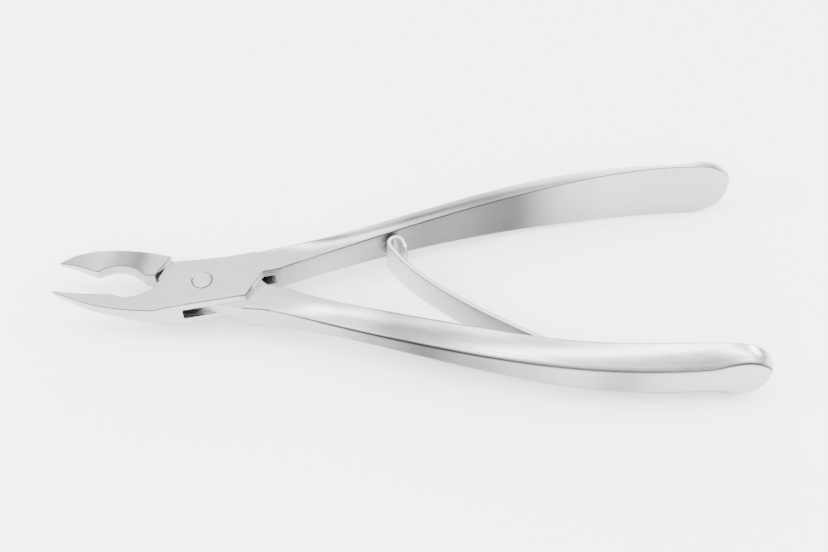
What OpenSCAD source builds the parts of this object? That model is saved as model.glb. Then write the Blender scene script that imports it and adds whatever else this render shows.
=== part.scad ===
// Grozing pliers: a box-joint pair of nippers with a leaf return spring.
// The pivot axis is the Z axis, the jaws point along -X and the handles along +X.
// Z = 0 is the outside face of the lower cheek of the box joint.
// The slotted lever stands still, and the tongue lever turns about the pivot.

/* [Joint] */
// Opening of the jaws at rest, in degrees
open_angle = 12.3; // [9:0.1:12.4]
// Thickness of the box joint along the pivot
box_thick = 6.8; // [6:0.1:9]
// Thickness of the tongue inside the box
tongue_thick = 2.9; // [2:0.1:3.6]
// Gap on each side of the tongue
tongue_gap = 0.06; // [0.03:0.01:0.15]
// Diameter of the pivot pin
pin_d = 4.2; // [3:0.1:5.5]
// Radial running clearance of the tongue on the pin
pin_gap = 0.04; // [0.02:0.01:0.1]

/* [Jaws] */
// Distance from the pivot to the tips of the jaws
jaw_length = 31.6; // [26:0.1:38]
// Thickness of the tips of the jaws
tip_thick = 0.9; // [0.6:0.1:1.6]
// Thickness of the jaws at their middle
jaw_thick = 3.2; // [2.4:0.1:4.5]
// Radius of the hollow in the upper jaw
upper_hollow_r = 7.1; // [5.5:0.1:7.2]
// Radius of the hollow in the lower jaw
lower_hollow_r = 7.8; // [6:0.1:8]

/* [Handles] */
// Distance from the pivot to the ends of the handles
handle_length = 117.5; // [95:0.5:142]
// Angle between each handle's chord and the centre line, at rest
handle_angle = 11.6; // [10:0.1:16]
// Outward bow of a handle over its chord
handle_bow = 12; // [8:0.5:15]
// Width of a handle at its palm
palm_width = 16.2; // [13:0.1:20]
// Thickness of a handle at its palm
palm_thick = 5.7; // [4:0.1:7]

/* [Spring] */
// Width of the spring strip
spring_width = 8; // [6:0.1:10]
// Thickness of the spring strip
spring_thick = 1; // [0.6:0.05:1.2]
// Distance from the pivot to the spring screw, along the handle
screw_place = 81; // [78:0.5:86]
// Distance from the pivot to the curl of the spring, along the upper handle
curl_place = 41; // [38:0.5:44]
// Inside radius of the curl
curl_r = 1; // [0.7:0.05:1.3]
// Gap between the curl and the upper handle at rest
curl_gap = 0.8; // [0.6:0.1:2]
// Diameter of the spring screw's shank
screw_d = 2.2; // [1.6:0.1:2.6]

/* [Hidden] */

mid_z = box_thick / 2;
slot_thick = tongue_thick + 2 * tongue_gap;
eps = 0.01;

// Catmull-Rom curve through a few points, with n steps between neighbours
function cr(a, b, c, d, t) =
    0.5 * (2 * b + (c - a) * t + (2 * a - 5 * b + 4 * c - d) * t * t
           + (3 * b - a - 3 * c + d) * t * t * t);
function smooth(p, n = 5) =
    [for (i = [0:len(p) - 2], k = [0:n - 1])
        cr(p[max(i - 1, 0)], p[i], p[i + 1], p[min(i + 2, len(p) - 1)], k / n),
     p[len(p) - 1]];

function bezier(p, t) =
    pow(1 - t, 3) * p[0] + 3 * t * pow(1 - t, 2) * p[1]
    + 3 * t * t * (1 - t) * p[2] + pow(t, 3) * p[3];
function turn(p, a) = [p[0] * cos(a) - p[1] * sin(a), p[0] * sin(a) + p[1] * cos(a)];
function unit(v) = v / norm(v);
function left_of(v) = [-v[1], v[0]];
function reversed(path) = [for (i = [len(path) - 1:-1:0]) path[i]];

module mid_extrude(h, outline) {
    linear_extrude(h, center = true)
        polygon(outline);
}
// Cuts a plan outline to the half thickness that a side view gives along X
module side_cut(profile) {
    intersection() {
        children();
        rotate([90, 0, 0])
            mid_extrude(3 * handle_length, concat(profile,
                reversed([for (p = profile) [p[0], -p[1]]])));
    }
}

/* ---- Handles ---- */

// Centre line of a handle in its own frame: the chord lies along +X, the bow towards +Y
handle_line = [[10, 1.3], [0.383 * handle_length, 0.42 * handle_bow],
               [0.724 * handle_length, handle_bow], [handle_length, 0]];
end_round = 0.078 * handle_length;
// Share of the way along the handle, thickness and width
handle_stations = [
    [0.14, 5.9, box_thick - 0.4],
    [0.20, 5.4, 1.07 * box_thick],
    [0.34, 5.2, 0.5 * palm_width],
    [0.50, 0.95 * palm_thick, 0.67 * palm_width],
    [0.66, palm_thick, 0.85 * palm_width],
    [0.82, 0.84 * palm_thick, palm_width],
    [1.00, 0.60 * palm_thick, palm_width]];
function station(x, col) = lookup(x / handle_length, [for (r = handle_stations) [r[0], r[col]]]);
function end_share(x) = x < handle_length - end_round ? 1
    : sqrt(max(0.02, 1 - pow((x - handle_length + end_round) / end_round, 2)));
function half_at(x, col) = end_share(x) * station(x, col) / 2;
handle_steps = [for (i = [0:17]) i / 19, 0.93, 0.96, 0.98, 0.99, 0.996, 1];
handle_points = [for (t = handle_steps) bezier(handle_line, t)];

module handle() {
    side_cut([for (p = handle_points) [p[0], half_at(p[0], 2)]])
        mid_extrude(2 * palm_width, concat(
            [for (p = handle_points) p - [0, half_at(p[0], 1)]],
            reversed([for (p = handle_points) p + [0, half_at(p[0], 1)]])));
}
// The inner face of a handle, as a point and a direction at a distance along the chord
function line_t(x, a = 0, b = 1, n = 30) =
    let (m = (a + b) / 2)
    n == 0 ? m : bezier(handle_line, m)[0] < x ? line_t(x, m, b, n - 1) : line_t(x, a, m, n - 1);
function inner_point(x) =
    bezier(handle_line, line_t(x)) - [0, station(x, 1) / 2];

/* ---- Jaws and box, drawn with the jaws closed ---- */

// Place along a jaw, from 0 where it leaves the box to 1 at its tip
jaw_root = 10;
function jaw_x(share) = -jaw_root - share * (jaw_length - jaw_root);
tip_gap = 0.15;
tip_y = 0.62;

// Side view of a jaw: half thickness along X
jaw_profile = [
    [-jaw_length - 0.5, tip_thick / 2], [jaw_x(0.88), 0.28 * jaw_thick],
    [jaw_x(0.67), 0.39 * jaw_thick], [jaw_x(0.3), jaw_thick / 2],
    [jaw_x(0.1), 0.31 * box_thick], [-8.2, 0.42 * box_thick],
    [-4.6, box_thick / 2], [20, box_thick / 2]];

// Outline of the lower jaw and the cheeks
lower_back = smooth([[-jaw_length, tip_y - 0.37], [jaw_x(0.85), -1.45], [jaw_x(0.62), -3.75],
                     [jaw_x(0.32), -5.5], [-9.8, -6.85]]);
box_front = [[-3.5, -6.2], [9.1, -4.2]];
cheek_right = [[12.5, 1.6], [16.5, 2.3]];
box_rear = [[16.5, 8.7], [12.2, 7.2], [4.5, 5.9], [-1.7, 5.3], [-5.9, 5.15]];
cheek_left = [[-8.7, 0.9], [-10.6, -1.2]];
// Keeps the upper handle's root behind the right-hand edge of the cheeks
crotch_cut = concat([box_front[1]], cheek_right, [[16.5, -6]]);
lower_mate = smooth([[jaw_x(0.48), -1.25], [jaw_x(0.65), -0.95], [jaw_x(0.82), -0.4],
                     [-jaw_length, tip_y]]);
lower_outline = concat(lower_back, box_front, cheek_right, box_rear, cheek_left, lower_mate);
lower_hollow = [jaw_x(0.24), -2.45 + lower_hollow_r];

// Outline of the upper jaw up to its shoulder
upper_mate = smooth([[-jaw_length, tip_y + tip_gap], [jaw_x(0.9), tip_y + tip_gap],
                     [jaw_x(0.76), 0.3], [jaw_x(0.61), -0.35]]);
upper_heel = [[-12.2, 0], [-10.4, 0.1]];
upper_shoulder = [-8.35, 4.7];
upper_back = smooth([[-8.2, 5.2], [jaw_x(0.14), 5.95], [jaw_x(0.35), 6], [jaw_x(0.6), 5.3],
                     [jaw_x(0.81), 3.85], [jaw_x(0.94), 2.25],
                     [-jaw_length, tip_y + tip_gap + 0.18]]);
upper_outline = concat(upper_mate, upper_heel, [upper_shoulder], upper_back);
upper_hollow = [jaw_x(0.35), 1.9 - upper_hollow_r];

// The slot, with its end walls in the jaw and in the root of the upper handle
slot_outline = [[-11.5, 0], [-10.1, -1], [-4, -6.1], [-4, -9], [18, -9], [15.4, -3],
                [15.4, 2], [8, 6.5], [8, 9], [-11.5, 9]];

// The tongue, flush with the box when the jaws are closed
tongue_outline = [[-9.6, 0.15], [1.1, -4.4], [9.5, -4.4], [13, -1], [13, 1.2], [14.6, 1.6],
                  [7.6, 5.8], [4.5, 5.7], [-1.7, 5.1], [-5.4, 4.95], [-8.7, 4.9]];

// Root of the lower handle: its shoulder faces the right-hand edge of the cheeks
root_outline = [[9.75, -5.5], [12.7, 1.3], [20, 0.5], [20, -5], [14.1, -4.9]];
shoulder_cut = [[9.75, -5.5], [12.7, 1.3], [17, 1.3], [17, 8], [-5, 8], [-5, -14], [8.5, -14]];

module pivot_bore(d) {
    cylinder(h = 3 * box_thick, d = d, center = true, $fn = 64);
}
module hollow(centre, r) {
    translate([centre[0], centre[1], 0])
        cylinder(h = 3 * box_thick, r = r, center = true, $fn = 96);
}

module slotted_lever() {
    color("silver")
    translate([0, 0, mid_z])
    difference() {
        union() {
            side_cut(jaw_profile)
                mid_extrude(3 * box_thick, lower_outline);
            difference() {
                rotate(handle_angle)
                    handle();
                mid_extrude(3 * box_thick, crotch_cut);
            }
        }
        mid_extrude(slot_thick, slot_outline);
        hollow(lower_hollow, lower_hollow_r);
        pivot_bore(pin_d);
    }
}

module tongue_lever() {
    color("lightgray")
    translate([0, 0, mid_z])
    difference() {
        union() {
            rotate(-open_angle) {
                difference() {
                    side_cut(jaw_profile)
                        mid_extrude(3 * box_thick, upper_outline);
                    hollow(upper_hollow, upper_hollow_r);
                }
                mid_extrude(tongue_thick, tongue_outline);
                mid_extrude(box_thick, root_outline);
            }
            difference() {
                rotate(-handle_angle)
                    mirror([0, 1, 0])
                        handle();
                rotate(-open_angle)
                    mid_extrude(3 * box_thick, shoulder_cut);
            }
        }
        pivot_bore(pin_d + 2 * pin_gap);
        spring_seat();
        at_screw()
            screw_hole();
    }
}

module pivot_pin() {
    color("gainsboro")
        cylinder(h = box_thick, d = pin_d, $fn = 64);
}

/* ---- Spring, drawn in the plane of the handles at rest ---- */

function lower_face(x) = let (p = inner_point(x)) turn([p[0], -p[1]], -handle_angle);
function upper_face(x) = turn(inner_point(x), handle_angle);
function heading(a) = [cos(a), sin(a)];

seat_depth = 0.3;
seat_margin = 1;
foot_front = 9;
screw_point = lower_face(screw_place);
screw_dir = unit(lower_face(screw_place - 2) - lower_face(screw_place + 2));
screw_up = -left_of(screw_dir);
foot_angle = atan2(screw_dir[1], screw_dir[0]);

// Frame of the foot: +X runs towards the pivot, +Y out of the handle
module at_screw() {
    translate([screw_point[0], screw_point[1], 0])
        rotate(foot_angle)
            mirror([0, 1, 0])
                translate([0, -seat_depth, 0])
                    children();
}
module spring_seat() {
    at_screw()
        translate([-spring_width / 2 - seat_margin, 0, -spring_width])
            cube([foot_front + spring_width / 2 + 3 * seat_margin, 4, 2 * spring_width]);
}

// The curl rolls over clockwise and bears on the inside of the upper handle
bend_r = curl_r + spring_thick / 2;
curl_dir = unit(upper_face(curl_place + 2) - upper_face(curl_place - 2));
curl_centre = upper_face(curl_place)
              - left_of(curl_dir) * (curl_gap + curl_r + spring_thick);
arrive = 118;
leave = -72;
tail_length = 1.8;
curl_start = curl_centre + bend_r * heading(arrive + 90);
curl_end = curl_centre + bend_r * heading(leave + 90);

// Middle of the strip, from the front of the foot to the start of the curl
rise = 20;
strip_start = screw_point + screw_dir * foot_front
              + screw_up * (spring_thick / 2 - seat_depth);
strip_curve = [strip_start, strip_start + 13 * heading(foot_angle - rise),
               curl_start - 11 * heading(arrive), curl_start];

// Flexure: the blade turns about a line across the strip, just clear of the foot
flex_share = 0.12;
flex_gap = 0.1;
flex_point = bezier(strip_curve, flex_share);
flex_speed = norm(bezier(strip_curve, flex_share + eps)
                  - bezier(strip_curve, flex_share - eps)) / (2 * eps);
foot_share = flex_share - (spring_thick / 2 + flex_gap) / flex_speed;
foot_path = concat([strip_start - (foot_front + spring_width / 2) * screw_dir],
    [for (i = [0:5]) bezier(strip_curve, foot_share * i / 5)]);
blade_path = concat(
    [for (i = [0:18]) bezier(strip_curve, flex_share + (1 - flex_share) * i / 19)],
    [for (a = [arrive + 90:-15:leave + 90]) curl_centre + bend_r * heading(a)],
    [curl_end + tail_length * heading(leave)]);

// A strip of constant thickness along a path
function path_dir(path, i) = unit(path[min(i + 1, len(path) - 1)] - path[max(i - 1, 0)]);
function beside(path, off) =
    [for (i = [0:len(path) - 1]) path[i] + off * left_of(path_dir(path, i))];
module strip(path) {
    half = spring_thick / 2;
    mid_extrude(spring_width, concat(beside(path, half), reversed(beside(path, -half))));
}

// The blade's rounded end stays just inside the strip's faces
root_r = spring_thick / 2 - 2 * eps;
module leaf_spring_blade() {
    color("whitesmoke")
    translate([0, 0, mid_z]) {
        strip(blade_path);
        translate([flex_point[0], flex_point[1], 0])
            cylinder(h = spring_width, r = root_r, center = true, $fn = 32);
    }
}

screw_head_d = 4;
screw_head_h = 0.9;
screw_depth = 3.4;
screw_gap = 0.05;
driver_slot = 0.6;
driver_depth = 0.45;

module leaf_spring_foot() {
    color("whitesmoke")
    translate([0, 0, mid_z])
    difference() {
        strip(foot_path);
        at_screw() {
            screw_shape(screw_gap);
            foot_corners();
        }
    }
}
// What is cut away to round the end of the foot behind the screw
module foot_corners() {
    difference() {
        translate([-spring_width, -spring_width, -spring_width])
            cube([spring_width, 2 * spring_width, 2 * spring_width]);
        rotate([90, 0, 0])
            cylinder(h = 3 * spring_width, d = spring_width, center = true, $fn = 64);
    }
}
// The screw's axis is +Y in the foot's frame
module screw_shape(gap) {
    rotate([-90, 0, 0]) {
        translate([0, 0, -screw_depth])
            cylinder(h = screw_depth + spring_thick, d = screw_d + 2 * gap, $fn = 48);
        translate([0, 0, spring_thick - screw_head_h - gap])
            cylinder(h = screw_head_h + gap + eps, d1 = screw_d + 2 * gap,
                     d2 = screw_head_d + 2 * gap, $fn = 48);
    }
}
module screw_hole() {
    rotate([-90, 0, 0])
        translate([0, 0, -screw_depth - 0.2])
            cylinder(h = screw_depth + 1, d = screw_d + 2 * screw_gap, $fn = 48);
}
module spring_screw() {
    color("darkgray")
    translate([0, 0, mid_z])
    at_screw()
    difference() {
        screw_shape(0);
        translate([-driver_slot / 2, spring_thick - driver_depth, -screw_head_d])
            cube([driver_slot, 2, 2 * screw_head_d]);
    }
}

slotted_lever();
tongue_lever();
pivot_pin();
leaf_spring_foot();
leaf_spring_blade();
spring_screw();
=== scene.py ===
"""Grozing pliers: satin-polished steel levers, pivot pin, leaf spring and its screw, on a pale floor."""

import math

import bmesh
import bpy
import numpy as np
from mathutils import Matrix, Vector
from mathutils.bvhtree import BVHTree
from mathutils.kdtree import KDTree


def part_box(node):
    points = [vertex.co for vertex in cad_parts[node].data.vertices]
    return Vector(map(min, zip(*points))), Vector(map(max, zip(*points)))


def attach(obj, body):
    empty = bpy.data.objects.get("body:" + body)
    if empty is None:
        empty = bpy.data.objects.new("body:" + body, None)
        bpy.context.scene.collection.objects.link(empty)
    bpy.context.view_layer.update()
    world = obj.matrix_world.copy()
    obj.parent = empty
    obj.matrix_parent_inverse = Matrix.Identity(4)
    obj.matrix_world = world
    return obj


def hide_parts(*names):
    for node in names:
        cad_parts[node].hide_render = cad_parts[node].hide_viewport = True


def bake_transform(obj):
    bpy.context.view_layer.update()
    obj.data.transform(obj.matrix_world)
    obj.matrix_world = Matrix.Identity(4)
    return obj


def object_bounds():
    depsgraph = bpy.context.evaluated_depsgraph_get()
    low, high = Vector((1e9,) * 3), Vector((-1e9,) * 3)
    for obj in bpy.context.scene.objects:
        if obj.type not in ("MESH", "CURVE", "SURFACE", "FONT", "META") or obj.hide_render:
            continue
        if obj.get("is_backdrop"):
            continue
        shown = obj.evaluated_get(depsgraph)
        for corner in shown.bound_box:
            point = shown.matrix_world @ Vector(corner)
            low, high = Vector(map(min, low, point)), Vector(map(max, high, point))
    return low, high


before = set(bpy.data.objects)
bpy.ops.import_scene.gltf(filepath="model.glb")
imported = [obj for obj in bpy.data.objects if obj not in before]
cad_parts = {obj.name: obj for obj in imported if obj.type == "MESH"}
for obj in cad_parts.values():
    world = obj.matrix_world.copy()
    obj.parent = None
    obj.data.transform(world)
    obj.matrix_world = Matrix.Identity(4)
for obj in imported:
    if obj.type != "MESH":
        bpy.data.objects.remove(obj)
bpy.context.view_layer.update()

# Shapes are worked out in millimetres and turned into metres when a piece is made.
MM = 0.001
pin_low, pin_high = (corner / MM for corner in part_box("pivot_pin"))
BOX_THICK = pin_high.z - pin_low.z
MID_Z = pin_low.z + BOX_THICK / 2
PIN_R = (pin_high.x - pin_low.x) / 2
PIVOT = Vector((0, 0, MID_Z))
UP = Vector((0, 0, 1))
DOWN = Vector((0, 0, -1))
BESIDE, ABOVE = 90, 50              # a ray starts this far out, clear of every piece
SAME_PLACE = 0.005                  # vertices closer than this are the same vertex
OPEN = math.radians(12.3)           # the jaws' opening at rest
CHORD = math.radians(11.6)          # each handle's chord from the centre line
HANDLE_END = 117.5                  # from the pivot to a handle's end
JAW_END = 31.6                      # from the pivot to a jaw's tip
END_ROUND = 9.2                     # length of the rounding at a handle's end
TONGUE_HALF = 1.45                  # half thickness of the tongue
SLOT_HALF = 1.51                    # half width of the slot that it turns in
CHEEK_LEVEL = SLOT_HALF + 0.15      # a height that is in the cheeks and clear of the slot
BOX_START = -12                     # the jaws are measured at mid height up to here


# ---- small helpers ----

def smoothstep(t):
    t = min(max(t, 0.0), 1.0)
    return t * t * (3 - 2 * t)


def mix(a, b, t):
    return a + (b - a) * t


def turn(p, angle):
    c, s = math.cos(angle), math.sin(angle)
    return (p[0] * c - p[1] * s, p[0] * s + p[1] * c)


def heading(angle):
    return Vector((math.cos(angle), math.sin(angle)))


def steps(start, end, spacing):
    count = max(1, round((end - start) / spacing))
    return [start + (end - start) * i / count for i in range(count + 1)]


def places_with(start, end, spacing, corners):
    """Even places and the given corners, without the even places that crowd a corner."""
    even = [p for p in steps(start, end, spacing) if all(abs(p - c) > 0.4 * spacing for c in corners)]
    return sorted(even + corners)


def make_object(name, bm):
    """A closed millimetre bmesh becomes an object, still in millimetres."""
    bmesh.ops.remove_doubles(bm, verts=bm.verts, dist=0.0005)
    bmesh.ops.recalc_face_normals(bm, faces=bm.faces)
    mesh = bpy.data.meshes.new(name)
    bm.to_mesh(mesh)
    bm.free()
    obj = bpy.data.objects.new(name, mesh)
    bpy.context.scene.collection.objects.link(obj)
    return obj


def finish_values(obj):
    """Place, edge and painted shade of each vertex. A piece made without them counts as 0."""
    layers = [obj.data.attributes.get(name) for name in ("edge", "painted_shade")]
    return [(v.co.copy(), [layer.data[v.index].value if layer else 0.0 for layer in layers])
            for v in obj.data.vertices]


def combine(obj, other, operation):
    """Applies one exact boolean, keeps both pieces' edges and painted shade, and removes the other object.
    """
    known = finish_values(obj) + finish_values(other)
    nearest = KDTree(len(known))
    for i, (place, values) in enumerate(known):
        nearest.insert(place, i)
    nearest.balance()
    modifier = obj.modifiers.new(operation, "BOOLEAN")
    modifier.operation = operation
    modifier.solver = "EXACT"
    modifier.object = other
    graph = bpy.context.evaluated_depsgraph_get()
    mesh = bpy.data.meshes.new_from_object(obj.evaluated_get(graph))
    obj.modifiers.clear()
    obj.data = mesh
    for vertex in mesh.vertices:
        place, i, distance = nearest.find(vertex.co)
        if distance < SAME_PLACE:
            for name, value in zip(("edge", "painted_shade"), known[i][1]):
                if name in mesh.attributes:
                    mesh.attributes[name].data[vertex.index].value = value
    bpy.data.objects.remove(other)
    return obj


def finish_piece(obj, node_names, body, material, crease=32):
    """Scales to metres, shades, paints and seats a piece on its body."""
    obj.data.transform(Matrix.Scale(MM, 4))
    obj.data.shade_smooth()
    obj.data.set_sharp_from_angle(angle=math.radians(crease))
    obj.data.materials.clear()
    obj.data.materials.append(material)
    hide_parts(*node_names)
    if body:
        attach(obj, body)
    return obj


# ---- measuring the CAD ----

class Solid:
    """Measures one CAD node with rays, in millimetres, in a frame turned about the pivot."""

    def __init__(self, node):
        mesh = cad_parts[node].data
        points = [v.co / MM for v in mesh.vertices]
        self.tree = BVHTree.FromPolygons(points, [p.vertices for p in mesh.polygons])

    def across(self, s, angle, z):
        """Lowest and highest place across the piece, s along the direction angle."""
        along, side = heading(angle), heading(angle + math.pi / 2)
        found = []
        nudge = 0.004                   # so that no ray slips through a corner
        for sign in (-1, 1):
            origin = (s + nudge) * along + sign * BESIDE * side
            hit = self.tree.ray_cast(Vector((*origin, MID_Z + z)), Vector((*(-sign * side), 0)))[0]
            if hit is None:
                return None
            found.append(hit.xy.dot(side))
        return found

    def half(self, s, y, angle):
        """Half thickness along the pivot at a place."""
        place = s * heading(angle) + y * heading(angle + math.pi / 2)
        hit = self.tree.ray_cast(Vector((*place, ABOVE)), DOWN)[0]
        return hit.z - MID_Z


def fitted(places, values, degree):
    """A polynomial through measured values, so that the surface has no facets."""
    centre, reach = (places[0] + places[-1]) / 2, (places[-1] - places[0]) / 2
    curve = np.polyfit([(p - centre) / reach for p in places], values, degree)
    return lambda p: float(np.polyval(curve, (p - centre) / reach))


# ---- lofts ----

ARC = 5                              # points along a rounded corner
FLANK = 4                            # points across a flank, between two corners


def corner(before, tip, after, distance):
    """A rounded corner as a short curve that stays distance or less from the tip."""
    tip = Vector(tip)
    ends = []
    for other in (before, after):
        way = Vector(other) - tip
        cut = min(distance, 0.45 * way.length)
        ends.append(tip + way.normalized() * cut if way.length > 1e-6 else tip)
    return [(1 - t) ** 2 * ends[0] + 2 * t * (1 - t) * tip + t * t * ends[1]
            for t in (i / (ARC - 1) for i in range(ARC))]


def edge_share(i, radius):
    """How strongly a point of a corner's arc shows the edge: a wide arc mostly at its middle."""
    if i == ARC // 2:
        return 1.0
    tight = 0.35
    return (0.8 if radius < tight else 0.15) if 0 < i < ARC - 1 else 0.0


def section(y_a, y_b, z_a, z_b, r_a, r_b, bulge, painted_shades=(0, 0, 0)):
    """Ring of (y, z, edge, painted shade) points: faces at y_a and y_b, joined by two flanks.

    The painted shades, dark bands that stand for reflections, are those of the face at y_a, of the flanks
    and of the face at y_b."""
    face_a, flank, face_b = painted_shades
    a, b = (y_a, z_a), (y_b, z_b)
    arc_a = corner((y_a, 0), a, b, r_a)
    arc_b = corner(a, b, (y_b, 0), r_b)
    out = Vector((-(z_b - z_a), y_b - y_a))
    out = out.normalized() if out.length > 1e-6 else Vector((0, 1))
    if out.y < 0:
        out = -out
    half = [(y_a, 0.0, 0.0, face_a), (y_a, 0.5 * z_a, 0.0, face_a)]
    half += [(p.x, p.y, edge_share(i, r_a), mix(face_a, flank, i / (ARC - 1))) for i, p in enumerate(arc_a)]
    for i in range(1, FLANK + 1):
        t = i / (FLANK + 1)
        p = arc_a[-1].lerp(arc_b[0], t) + out * bulge * 4 * t * (1 - t)
        half.append((p.x, p.y, 0.0, flank))
    half += [(p.x, p.y, edge_share(i, r_b), mix(flank, face_b, i / (ARC - 1))) for i, p in enumerate(arc_b)]
    half += [(y_b, 0.5 * z_b, 0.0, face_b), (y_b, 0.0, 0.0, face_b)]
    return half + [(y, -z, edge, painted_shade) for y, z, edge, painted_shade in reversed(half[1:-1])]


def loft(name, rows):
    """rows are (point, direction across, ring). Neighbouring rings are joined by quads."""
    bm = bmesh.new()
    edge_layer = bm.verts.layers.float.new("edge")
    # Painted shade, dark bands that stand for reflections, is kept on each vertex
    painted_shade_layer = bm.verts.layers.float.new("painted_shade")
    rings = []
    for point, side, ring in rows:
        loop = []
        for y, z, edge, painted_shade in ring:
            vertex = bm.verts.new((point.x + side.x * y, point.y + side.y * y, MID_Z + z))
            vertex[edge_layer] = edge
            vertex[painted_shade_layer] = painted_shade
            loop.append(vertex)
        rings.append(loop)
    size = len(rings[0])
    for one, two in zip(rings, rings[1:]):
        for i in range(size):
            k = (i + 1) % size
            bm.faces.new((one[i], one[k], two[k], two[i]))
    bm.faces.new(rings[0])
    bm.faces.new(reversed(rings[-1]))
    return make_object(name, bm)


def prism(name, outline, half):
    """An outline in plan, half above and half below the middle of the pliers."""
    bm = bmesh.new()
    low = [bm.verts.new((x, y, MID_Z - half)) for x, y in outline]
    high = [bm.verts.new((x, y, MID_Z + half)) for x, y in outline]
    bm.faces.new(reversed(low))
    bm.faces.new(high)
    for i in range(len(outline)):
        k = (i + 1) % len(outline)
        bm.faces.new((low[i], low[k], high[k], high[i]))
    return make_object(name, bm)


def lathe(name, profile, axis_point, axis, segments=72):
    """Turns (radius, height) pairs about an axis. The first and last radius is 0.

    A third value in a pair is how strongly the dark edge line shows there."""
    bm = bmesh.new()
    edge_layer = bm.verts.layers.float.new("edge")
    rings = []
    for radius, height, *edge in profile:
        turns = [2 * math.pi * i / segments for i in range(segments if radius else 1)]
        rings.append([bm.verts.new((radius * math.cos(a), radius * math.sin(a), height)) for a in turns])
        for vertex in rings[-1]:
            vertex[edge_layer] = edge[0] if edge else 0.0
    for one, two in zip(rings, rings[1:]):
        for i in range(segments):
            k = (i + 1) % segments
            face = [one[i % len(one)], one[k % len(one)], two[k % len(two)], two[i % len(two)]]
            bm.faces.new(list(dict.fromkeys(face)))
    place = Matrix.Translation(axis_point) @ UP.rotation_difference(axis).to_matrix().to_4x4()
    bmesh.ops.transform(bm, matrix=place, verts=bm.verts)
    return make_object(name, bm)


# ---- the levers ----

EDGE = 0.28                          # rounding of the jaws' and the box's edges
INNER_EDGE = 0.45                    # of a handle's inner face
OUTER_EDGE = 1.1                     # of a handle's outer facet
FACET_SHARE = 0.5                    # height of the outer facet over the inner face's
FLANK_BULGE = 0.22

# Painted shade: dark bands along the steel that stand for its reflections, from 0, bright, to 1, dark, as
# (distance from the pivot, share)
UPPER_INNER = [(14, 0.2), (24, 0.1), (40, 0.62), (50, 0.85), (68, 1.0), (84, 0.2), (90, 0.0), (112, 0.1)]
UPPER_FLANK = [(14, 0.0), (32, 0.1), (48, 0.75), (62, 0.85), (78, 0.35), (92, 0.0)]
LOWER_FLANK = [(12, 0.0), (24, 0.05), (32, 0.2), (42, 0.8), (50, 0.7), (64, 0.1), (80, 0.0)]
LOWER_OUTER = [(14, 0.1), (26, 0.2), (38, 0.75), (48, 1.0), (58, 0.75), (68, 0.4), (78, 0.1), (88, 0.55),
               (98, 0.1), (110, 0.0)]
JAW_PAINTED_SHADE = [(8, 0.0), (11, 0.1), (15, 0.75), (19, 0.5), (23, 0.0), (29, 0.35)]

# Where a handle's root gives way to its own form, from the pivot along its chord
OUTLINE_START = 15                   # its fitted outline is held before this place
FORM_START = 19                      # it is measured from here on
ROOT_START, ROOT_LENGTH = 13, 9      # the root's section blends into it here
SOFT_START, SOFT_LENGTH = 12, 20     # the edges grow softer
FACET_START, FACET_LENGTH = 4, 34    # the outer facet narrows
END_FACET = 0.86                     # and widens to this share at the handle's end
END_PLAN_POWER, END_SIDE_POWER = 6, 2.1     # fullness of the end, from above and from the side
END_THINNING = 0.1
FIT_DEGREE = 5


def painted_shade_at(place, painted_shades):
    for (a, low), (b, high) in zip(painted_shades, painted_shades[1:]):
        if a <= place <= b:
            return mix(low, high, smoothstep((place - a) / (b - a)))
    return painted_shades[0][1] if place < painted_shades[0][0] else painted_shades[-1][1]


def handle_shape(solid, angle, mirrored):
    """Curves of one handle along its chord: inner face, outer face and half width."""
    places = steps(FORM_START, HANDLE_END - END_ROUND - 1, 3)
    spans = [solid.across(s, angle, 0) for s in places]
    low = fitted(places, [a for a, b in spans], FIT_DEGREE)
    high = fitted(places, [b for a, b in spans], FIT_DEGREE)
    thickness = [solid.half(s, (a + b) / 2, angle) for s, (a, b) in zip(places, spans)]
    halves = fitted(places, thickness, FIT_DEGREE)
    inner, outer = (high, low) if mirrored else (low, high)
    return inner, outer, halves


def handle_rows(solid, angle, mirrored, first, root_span, painted_shades):
    """Rings along a handle, from its root to its rounded end."""
    inner, outer, halves = handle_shape(solid, angle, mirrored)
    along, side = heading(angle), heading(angle + math.pi / 2)
    round_start = HANDLE_END - END_ROUND
    root_end = 24
    places = steps(first, root_end, 0.5) + steps(root_end, round_start, 1.5)[1:]
    end_angles = [*range(6, 90, 6), 86, 88.5]
    places += [round_start + END_ROUND * math.sin(math.radians(a)) for a in end_angles]
    rows = []
    for s in places:
        blend = smoothstep((s - ROOT_START) / ROOT_LENGTH)
        outline_s = max(s, OUTLINE_START)
        y_in, y_out, half = inner(outline_s), outer(outline_s), halves(max(s, FORM_START))
        if s > round_start:
            t = (s - round_start) / END_ROUND
            slope = (inner(round_start) - inner(round_start - 4)) / 4
            middle = (inner(round_start) + outer(round_start)) / 2 + slope * (s - round_start)
            thick = outer(round_start) - inner(round_start)
            thick *= (1 - END_THINNING * t) * (1 - t ** END_PLAN_POWER) ** 0.5
            y_in, y_out = middle - thick / 2, middle + thick / 2
            half = halves(round_start) * max(0.03, (1 - t ** END_SIDE_POWER) ** 0.5)
        if blend < 1:
            span = root_span(s)
            root_in, root_out = (span[1], span[0]) if mirrored else span
            y_in, y_out = mix(root_in, y_in, blend), mix(root_out, y_out, blend)
            half = mix(BOX_THICK / 2, half, blend)
        facet = mix(1, FACET_SHARE, smoothstep((s - FACET_START) / FACET_LENGTH))
        facet = mix(facet, END_FACET, smoothstep((s - round_start + 4) / (END_ROUND + 2)))
        soft = smoothstep((s - SOFT_START) / SOFT_LENGTH)
        # Each ring carries the painted shade bands, which stand for reflections, of its place
        ring = section(y_in, y_out, half, half * facet, mix(EDGE, INNER_EDGE, soft),
                       mix(EDGE, OUTER_EDGE, soft), FLANK_BULGE * soft * min(1, half / 3),
                       [painted_shade_at(s, t) for t in painted_shades])
        rows.append((s * along, side, ring))
    return rows


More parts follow.
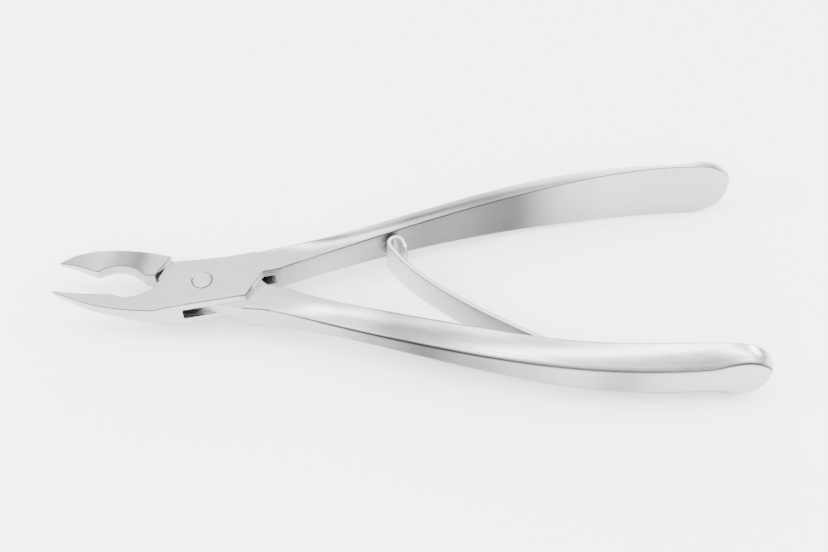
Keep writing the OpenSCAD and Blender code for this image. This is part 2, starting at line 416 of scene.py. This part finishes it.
def jaw_profile(solid):
    """Half thickness along the jaws, with the CAD's straight stretches eased into one sweep."""
    places = steps(-JAW_END + 0.2, 6, 0.5)
    halves = []
    for x in places:
        low, high = solid.across(x, 0, 0 if x < BOX_START else CHEEK_LEVEL)
        halves.append(solid.half(x, high - 0.4 * min(1, high - low), 0))
    ease = 1.7                      # width of the easing
    tip_length, tip_share = 3, 0.8  # the tip is thinned over this length, to this share

    def half_at(x):
        weights = [math.exp(-((p - x) / ease) ** 2) for p in places]
        eased = sum(w * h for w, h in zip(weights, halves)) / sum(weights)
        return mix(tip_share * eased, eased, smoothstep((x + JAW_END) / tip_length))
    return half_at


def jaw_rows(solid, angle, places, half_at):
    """Place, outline and half thickness along a jaw, with the outline straight from the CAD."""
    return [(x, *solid.across(x, angle, 0 if x < BOX_START else CHEEK_LEVEL), half_at(x))
            for x in places]


def plain_section(low, high, half, painted_shades=(0, 0, 0)):
    """Ring of a flat piece with the same small rounding on every edge."""
    return section(low, high, half, half, EDGE, EDGE, 0, painted_shades)


def cheek_ring(solid, s, angle, half):
    """One ring of the cheeks, across the direction angle."""
    low, high = solid.across(s, angle, CHEEK_LEVEL)
    return s * heading(angle), heading(angle + math.pi / 2), plain_section(low, high, half)


def slotted_lever(solid, half_at):
    """Lower jaw, both cheeks and upper handle, as one loft that turns into the handle's chord."""
    corners = [-10.6, -9.8, -8.7, -5.9, -3.5]   # where the box's outline has corners
    places = places_with(-JAW_END + 0.02, -3.9, 0.4, corners)
    rows = []
    for x, low, high, half in jaw_rows(solid, 0, places, half_at):
        rows.append((Vector((x, 0)), heading(math.pi / 2), plain_section(low, high, half)))
    front = turn((9.1, -4.2), -CHORD)[0]        # the cheeks' lower corner, along the chord
    crotch = turn((12.5, 1.6), -CHORD)[0]       # where the handle leaves the cheeks
    turn_start, turn_length = -4, 10
    for s in steps(-3.1, front, 0.5)[:-1]:
        angle = CHORD * smoothstep((s - turn_start) / turn_length)
        rows.append(cheek_ring(solid, s, angle, half_at(s)))
    rows += [cheek_ring(solid, s, CHORD, BOX_THICK / 2) for s in steps(front, crotch, 0.4)[:-1]]
    rows += handle_rows(solid, CHORD, False, crotch, lambda s: solid.across(s, CHORD, CHEEK_LEVEL),
                        (UPPER_INNER, UPPER_FLANK, UPPER_FLANK))
    lever = loft("slotted_lever_steel", rows)
    slot = [(-11.5, 0), (-10.1, -1), (-4, -6.1), (-4, -9), (18, -9), (15.4, -3),
            (15.4, 2), (8, 6.5), (8, 9), (-11.5, 9)]
    combine(lever, prism("slot_cut", slot, SLOT_HALF), "DIFFERENCE")
    groove, past = 0.14, 1                      # the bore's countersink, and how far the cut runs on
    top = BOX_THICK / 2
    mouth = [(PIN_R, top - groove), (PIN_R + groove, top), (PIN_R + groove + past, top + past),
             (0, top + past)]
    bore = [(r, -z) for r, z in reversed(mouth)] + mouth
    combine(lever, lathe("bore_cut", bore, PIVOT, UP), "DIFFERENCE")
    return lever


def tongue_lever(half_at):
    """Upper jaw, tongue and lower handle, each made by itself and then united."""
    solid = Solid("tongue_lever")
    corners = [-12.2, -10.4]                    # where the jaw's shoulder has corners
    places = places_with(-JAW_END + 0.02, -8.25, 0.4, corners)
    rows = []
    side = heading(math.pi / 2 - OPEN)
    for x, low, high, half in jaw_rows(solid, -OPEN, places, half_at):
        # The jaw's flanks carry painted shade, a dark band that stands for reflections
        painted_shade = painted_shade_at(-x, JAW_PAINTED_SHADE)
        rows.append((x * heading(-OPEN), side, plain_section(low, high, half, (0, painted_shade, painted_shade))))
    jaw = loft("tongue_lever_steel", rows)
    tongue = [(-9.6, 0.15), (1.1, -4.4), (9.5, -4.4), (13, -1), (13, 1.2), (14.6, 1.6), (7.6, 5.8),
              (4.5, 5.7), (-1.7, 5.1), (-5.4, 4.95), (-8.7, 4.9)]
    combine(jaw, prism("tongue", [turn(p, -OPEN) for p in tongue], TONGUE_HALF), "UNION")
    first = turn((9.75, -5.5), CHORD - OPEN)[0] + 0.15      # just past the handle's front corner
    handle = loft("lower_handle", handle_rows(
        solid, -CHORD, True, first, lambda s: solid.across(s, -CHORD, CHEEK_LEVEL),
        (LOWER_FLANK, LOWER_FLANK, LOWER_OUTER)))
    combine(jaw, handle, "UNION")
    bore_gap, reach = 0.04, 9
    bore = [(0, -reach), (PIN_R + bore_gap, -reach), (PIN_R + bore_gap, reach), (0, reach)]
    combine(jaw, lathe("tongue_bore", bore, PIVOT, UP), "DIFFERENCE")
    return jaw


# ---- pin, spring and screw ----

STRIP_HALF = 0.5                     # half thickness of the spring strip
blade_low, blade_high = (corner_point / MM for corner_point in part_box("leaf_spring_blade"))
SPRING_HALF = (blade_high.z - blade_low.z) / 2
STRIP_EDGE = 0.22                    # rounding of the strip's edges
FOOT_FRONT = 9                       # from the screw to where the strip leaves its foot
FOOT_ANGLE = math.radians(169.24)    # direction of the foot, towards the pivot
CURL_R = 1.5                         # to the middle of the strip
CURL_IN, CURL_OUT = math.radians(118), math.radians(-72)    # directions before and after the curl


def pivot_pin():
    """A pin with a slightly crowned, ringed end on both cheeks."""
    top = BOX_THICK / 2
    rim, dome = 0.12, 0.07
    crown = [(PIN_R, top - rim, 1.0), (PIN_R - 0.6 * rim, top - 0.3 * rim, 1.0),
             (PIN_R - 1.3 * rim, top, 0.5)]
    crown += [(PIN_R * share, top + dome * (1 - share ** 2)) for share in (0.8, 0.6, 0.4, 0.2)]
    crown.append((0, top + dome))
    profile = [(r, -z, *edge) for r, z, *edge in reversed(crown)] + crown
    return lathe("pivot_pin_steel", profile, PIVOT, UP)


def strip_line():
    """Points and half widths along the middle of the spring, from behind the screw to its end."""
    outer = CURL_R + STRIP_HALF
    curl = Vector((blade_low.x + outer, blade_high.y - outer))
    seat, along, out = screw_frame()
    rise = math.radians(20)             # the strip leaves its foot at this angle
    foot_pull, curl_pull = 13, 11       # how far each end keeps the curve to its own direction
    start = seat + along * FOOT_FRONT + out * STRIP_HALF
    curl_start = curl + CURL_R * heading(CURL_IN + math.pi / 2)
    handles = [start, start + foot_pull * heading(FOOT_ANGLE - rise),
               curl_start - curl_pull * heading(CURL_IN), curl_start]
    points = []
    for angle in range(0, 90, 9):       # the round end behind the screw
        reach = SPRING_HALF * math.cos(math.radians(angle))
        width = SPRING_HALF * math.sin(math.radians(angle))
        points.append((seat - along * reach + out * STRIP_HALF, max(width, 0.35)))
    points += [(seat + along * s + out * STRIP_HALF, SPRING_HALF) for s in steps(0, FOOT_FRONT, 0.75)[:-1]]
    sweep_steps, curl_steps = 48, 22
    for i in range(sweep_steps + 1):
        t = i / sweep_steps
        p = ((1 - t) ** 3 * handles[0] + 3 * t * (1 - t) ** 2 * handles[1]
             + 3 * t * t * (1 - t) * handles[2] + t ** 3 * handles[3])
        points.append((p, SPRING_HALF))
    for i in range(1, curl_steps + 1):
        angle = mix(CURL_IN, CURL_OUT, i / curl_steps) + math.pi / 2
        points.append((curl + CURL_R * heading(angle), SPRING_HALF))
    end = curl + CURL_R * heading(CURL_OUT + math.pi / 2)
    for s, inset in ((0.5, 0), (1.0, 0), (1.4, 0), (1.65, 0.15), (1.8, 0.5)):
        points.append((end + s * heading(CURL_OUT), SPRING_HALF - inset))
    return points


def screw_frame():
    """The spring's seat at the screw: a point on its floor, the way to the pivot, and out."""
    low, high = (corner_point / MM for corner_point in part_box("spring_screw"))
    centre = ((low + high) / 2).xy
    along = heading(FOOT_ANGLE)
    out = heading(FOOT_ANGLE - math.pi / 2)
    head_top = max((v.co.xy / MM).dot(out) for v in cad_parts["spring_screw"].data.vertices)
    lift = head_top - 2 * STRIP_HALF - centre.dot(out)
    return centre + out * lift, along, out


def leaf_spring():
    """One strip with rounded edges along the line, and a countersunk hole for the screw."""
    line = strip_line()
    rows = []
    for i, (point, half) in enumerate(line):
        before, after = line[max(i - 1, 0)][0], line[min(i + 1, len(line) - 1)][0]
        way = (after - before).normalized()
        side = Vector((way.y, -way.x))
        ring = section(-STRIP_HALF, STRIP_HALF, half, half, STRIP_EDGE, STRIP_EDGE, 0)
        rows.append((point, side, ring))
    spring = loft("leaf_spring", rows)
    combine(spring, screw_shape("screw_hole", 0.05), "DIFFERENCE")
    return spring


def screw_shape(name, gap):
    """The screw, or with a gap the hole that it leaves in the strip."""
    seat, along, out = screw_frame()
    shank, head, depth, sink = 1.1 + gap, 2.0 + gap, 3.4, 0.9 + gap
    top = 2 * STRIP_HALF + (0.3 if gap else 0)
    strip_top = 2 * STRIP_HALF
    tip_bevel, tip_share, rim = 0.3, 0.8, 0.06
    profile = [(0, -depth), (tip_share * shank, -depth), (shank, -depth + tip_bevel),
               (shank, strip_top - sink), (head - rim, strip_top - rim), (head, strip_top - rim / 3),
               (head, top)]
    if not gap:
        profile += [(0.9 * head, top + 0.05), (0.5 * head, top + 0.11)]
    profile.append((0, profile[-1][1] + 0.01))
    return lathe(name, profile, Vector((*seat, MID_Z)), Vector((*out, 0)), 48)


def spring_screw():
    """A countersunk screw with a straight driver slot along the strip's width."""
    seat, along, out = screw_frame()
    screw = screw_shape("spring_screw_steel", 0)
    width, deep, reach = 0.6, 0.5, 2.6
    centre = seat + out * (2 * STRIP_HALF + 0.15)
    corners = [centre + along * a * width / 2 + out * b for a, b in
               ((-1, -deep), (1, -deep), (1, 1), (-1, 1))]
    combine(screw, prism("driver_slot", [tuple(c) for c in corners], reach), "DIFFERENCE")
    return screw


# ---- materials ----

class Nodes:
    """Short names for the few shader nodes that the steels share."""

    def __init__(self, name):
        self.material = bpy.data.materials.new(name)
        self.material.use_nodes = True
        self.tree = self.material.node_tree
        self.shader = self.tree.nodes["Principled BSDF"]
        self.place = self.add("ShaderNodeTexCoord").outputs["Object"]

    def add(self, kind, **values):
        node = self.tree.nodes.new(kind)
        for key, value in values.items():
            setattr(node, key, value)
        return node

    def link(self, source, target):
        self.tree.links.new(source, target)

    def noise(self, scale, angle, stretch, detail):
        """Noise in the object's own space, turned about Z and then stretched."""
        mapping = self.add("ShaderNodeMapping")
        turned = self.add("ShaderNodeMapping")
        turned.inputs["Rotation"].default_value = (0, 0, angle)
        mapping.inputs["Scale"].default_value = stretch
        texture = self.add("ShaderNodeTexNoise")
        texture.inputs["Scale"].default_value = scale
        texture.inputs["Detail"].default_value = detail
        self.link(self.place, turned.inputs["Vector"])
        self.link(turned.outputs["Vector"], mapping.inputs["Vector"])
        self.link(mapping.outputs["Vector"], texture.inputs["Vector"])
        return texture.outputs["Fac"]

    def spread(self, source, low, high, start=0.0, end=1.0):
        """Maps start..end to low..high, and stops at both."""
        node = self.add("ShaderNodeMapRange")
        node.inputs["From Min"].default_value = start
        node.inputs["From Max"].default_value = end
        node.inputs["To Min"].default_value = low
        node.inputs["To Max"].default_value = high
        self.link(source, node.inputs["Value"])
        return node.outputs["Result"]

    def maths(self, operation, a, b):
        node = self.add("ShaderNodeMath", operation=operation)
        for slot, value in zip(node.inputs, (a, b)):
            if isinstance(value, float):
                slot.default_value = value
            else:
                self.link(value, slot)
        return node.outputs[0]

    def blend(self, factor, one, two):
        node = self.add("ShaderNodeMix", data_type="RGBA")
        self.link(factor, node.inputs[0])
        for slot, value in ((node.inputs[6], one), (node.inputs[7], two)):
            if isinstance(value, tuple):
                slot.default_value = (*value, 1)
            else:
                self.link(value, slot)
        return node.outputs[2]

    def value(self, name):
        """A number stored on the piece's vertices."""
        return self.add("ShaderNodeAttribute", attribute_name=name).outputs["Fac"]

    def mottled(self, cloud, dark, light):
        """Two near colours in soft clouds."""
        return self.blend(self.spread(cloud, 0, 1, 0.35, 0.65), dark, light)

    def bump(self, height, strength, distance):
        node = self.add("ShaderNodeBump")
        node.inputs["Strength"].default_value = strength
        node.inputs["Distance"].default_value = distance
        self.link(height, node.inputs["Height"])
        self.link(node.outputs["Normal"], self.shader.inputs["Normal"])


PAINTED_SHADE_DEPTH = 0.9                       # how far a painted shade of 1 goes towards the darkest painted colour
PAINTED_SHADE_DARK = 0.06                       # the darkest painted shade colour, as a share of the dark one
EDGE_COLOUR = (0.015, 0.015, 0.016)    # the dark line along the edges


def steel(name, light, dark, roughness, angle, brush=0.35):
    """Satin steel: fine brushing along the piece, cloudy polish, painted shade bands that stand for
    reflections, and a dark line along the edges.
    """
    n = Nodes(name)
    n.shader.inputs["Metallic"].default_value = 1.0
    grain = n.noise(1000, -angle, (0.05, 1.6, 1.6), 3.0)
    fine = n.noise(3200, -angle, (0.03, 1.0, 1.0), 2.0)
    cloud = n.noise(55, -angle, (0.5, 1, 1), 3.0)
    colour = n.mottled(cloud, dark, light)
    darkest_painted_shade = tuple(PAINTED_SHADE_DARK * c for c in dark)
    # Painted shade: the colour is darkened by the stored bands, which stand for the steel's reflections
    with_painted_shade = n.blend(n.maths("MULTIPLY", n.value("painted_shade"), PAINTED_SHADE_DEPTH), colour, darkest_painted_shade)
    line = n.maths("MULTIPLY", n.value("edge"), n.spread(cloud, 0.85, 1.0, 0.3, 0.7))
    n.link(n.blend(line, with_painted_shade, EDGE_COLOUR), n.shader.inputs["Base Color"])
    rough = n.maths("ADD", n.spread(cloud, roughness - 0.04, roughness + 0.05, 0.3, 0.7),
                    n.spread(grain, -0.05, 0.05, 0.3, 0.7))
    rough = n.maths("ADD", rough, n.maths("MULTIPLY", line, 0.12))
    n.link(rough, n.shader.inputs["Roughness"])
    n.bump(n.maths("ADD", grain, fine), brush, 0.000012)
    return n.material


def turned_steel(name, light, dark, roughness, centre):
    """Turned steel: fine rings about the axis of a round piece."""
    n = Nodes(name)
    n.shader.inputs["Metallic"].default_value = 1.0
    shifted = n.add("ShaderNodeMapping")
    shifted.inputs["Location"].default_value = [-c * MM for c in centre]
    n.link(n.place, shifted.inputs["Vector"])
    rings = n.add("ShaderNodeTexWave", wave_type="RINGS", rings_direction="Z")
    rings.inputs["Scale"].default_value = 900
    rings.inputs["Distortion"].default_value = 1.5
    n.link(shifted.outputs["Vector"], rings.inputs["Vector"])
    cloud = n.noise(260, 0, (1, 1, 1), 3.0)
    colour = n.mottled(cloud, dark, light)
    n.link(n.blend(n.value("edge"), colour, EDGE_COLOUR), n.shader.inputs["Base Color"])
    n.link(n.spread(rings.outputs["Fac"], roughness - 0.05, roughness + 0.06), n.shader.inputs["Roughness"])
    n.bump(rings.outputs["Fac"], 0.2, 0.00001)
    return n.material


# ---- assembly ----

LEVER_COLOURS = ((0.48, 0.485, 0.50), (0.41, 0.415, 0.43), 0.25)    # light, dark, roughness
STRIP_COLOURS = ((0.62, 0.62, 0.63), (0.56, 0.56, 0.57), 0.40)
PIN_COLOURS = ((0.50, 0.505, 0.51), (0.44, 0.445, 0.45), 0.3)
SCREW_COLOURS = ((0.42, 0.425, 0.44), (0.36, 0.365, 0.38), 0.32)
STRIP_WAY = math.radians(35)        # the strip's mean slope, which its brushing follows

lever_steel = steel("satin_steel_upper", *LEVER_COLOURS, CHORD)
tongue_steel = steel("satin_steel_lower", *LEVER_COLOURS, -CHORD)
strip_steel = steel("spring_strip_steel", *STRIP_COLOURS, -STRIP_WAY, 0.2)
pin_steel = turned_steel("ground_pin_steel", *PIN_COLOURS, (0, 0, 0))
screw_steel = turned_steel("turned_screw_steel", *SCREW_COLOURS, (*screw_frame()[0], MID_Z))

slotted_solid = Solid("slotted_lever")
half_at = jaw_profile(slotted_solid)
slotted = slotted_lever(slotted_solid, half_at)
finish_piece(slotted, ["slotted_lever"], "slotted_half", lever_steel)
finish_piece(tongue_lever(half_at), ["tongue_lever"], "tongue_half", tongue_steel)
finish_piece(pivot_pin(), ["pivot_pin"], "slotted_half", pin_steel)
finish_piece(spring_screw(), ["spring_screw"], "tongue_half", screw_steel)
spring_nodes = ["leaf_spring_foot", "leaf_spring_blade"]
spring = finish_piece(leaf_spring(), spring_nodes, None, strip_steel)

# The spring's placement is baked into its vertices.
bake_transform(spring)


# ---- floor, light and camera ----

def floor():
    """A pale plane just under the lowest point of the pliers."""
    bm = bmesh.new()
    reach, gap = 3000, 0.05
    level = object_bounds()[0][2] / MM - gap
    corners = [(-reach, -reach), (reach, -reach), (reach, reach), (-reach, reach)]
    bm.faces.new([bm.verts.new((x, y, level)) for x, y in corners])
    obj = make_object("floor", bm)
    obj.data.transform(Matrix.Scale(MM, 4))
    material = bpy.data.materials.new("pale_floor")
    material.use_nodes = True
    shader = material.node_tree.nodes["Principled BSDF"]
    shader.inputs["Base Color"].default_value = (0.93, 0.93, 0.93, 1)
    shader.inputs["Roughness"].default_value = 0.9
    shader.inputs["Specular IOR Level"].default_value = 0.0
    obj.data.materials.append(material)
    obj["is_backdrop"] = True


def panel(name, place, target, size, power):
    """A soft rectangular light. Places are in metres."""
    data = bpy.data.lights.new(name, "AREA")
    data.shape = "RECTANGLE"
    data.size, data.size_y = size
    data.energy = power
    light = bpy.data.objects.new(name, data)
    light.location = place
    light.rotation_euler = (Vector(target) - Vector(place)).to_track_quat("-Z", "Y").to_euler()
    bpy.context.scene.collection.objects.link(light)


def lights():
    """Side lamps make the floor pale. The other panels are what the polished faces mirror."""
    middle = (0.045, 0.0, 0.0)
    panel("left_lamp", (-0.75, -0.05, 0.62), middle, (0.45, 0.45), 13)
    panel("right_lamp", (0.85, 0.05, 0.62), middle, (0.45, 0.45), 11)
    panel("back_strip", (0.00, 0.68, 0.30), middle, (1.0, 0.16), 4.5)
    panel("top_strip_left", (-0.24, 0.08, 0.85), middle, (0.24, 0.2), 3.5)
    panel("top_strip_right", (0.30, 0.02, 0.85), middle, (0.3, 0.2), 3)
    panel("front_strip", (0.10, -0.52, 0.70), middle, (1.0, 0.25), 9)
    world = bpy.data.worlds.new("studio")
    world.use_nodes = True
    nodes, links = world.node_tree.nodes, world.node_tree.links
    direction = nodes.new("ShaderNodeTexCoord")
    height = nodes.new("ShaderNodeSeparateXYZ")
    ramp = nodes.new("ShaderNodeValToRGB")
    ramp.color_ramp.elements[0].color = (0.10, 0.10, 0.105, 1)
    ramp.color_ramp.elements[1].color = (0.9, 0.9, 0.91, 1)
    ramp.color_ramp.elements[0].position = 0.12
    ramp.color_ramp.elements[1].position = 0.62
    links.new(direction.outputs["Generated"], height.inputs[0])
    links.new(height.outputs["Z"], ramp.inputs[0])
    links.new(ramp.outputs["Color"], nodes["Background"].inputs["Color"])
    nodes["Background"].inputs["Strength"].default_value = 3.9
    bpy.context.scene.world = world


def camera():
    """Seen from the front at 54 degrees, with the handles 2.3 degrees off level."""
    elevation, roll = math.radians(53.9), math.radians(2.3)
    distance, focus = 277, Vector((*turn((43.97, 3.43), -roll), MID_Z))
    away = Vector((math.cos(elevation) * math.sin(roll), math.cos(elevation) * math.cos(roll),
                   -math.sin(elevation)))
    right = Vector((math.cos(roll), -math.sin(roll), 0))
    up = right.cross(away)
    data = bpy.data.cameras.new("camera")
    data.sensor_width = 36
    data.lens = 57.1
    data.clip_start = 0.01
    obj = bpy.data.objects.new("camera", data)
    place = Matrix((right, up, -away)).transposed().to_4x4()
    place.translation = (focus - away * distance) * MM
    obj.matrix_world = place
    bpy.context.scene.collection.objects.link(obj)
    bpy.context.scene.camera = obj


floor()
lights()
camera()
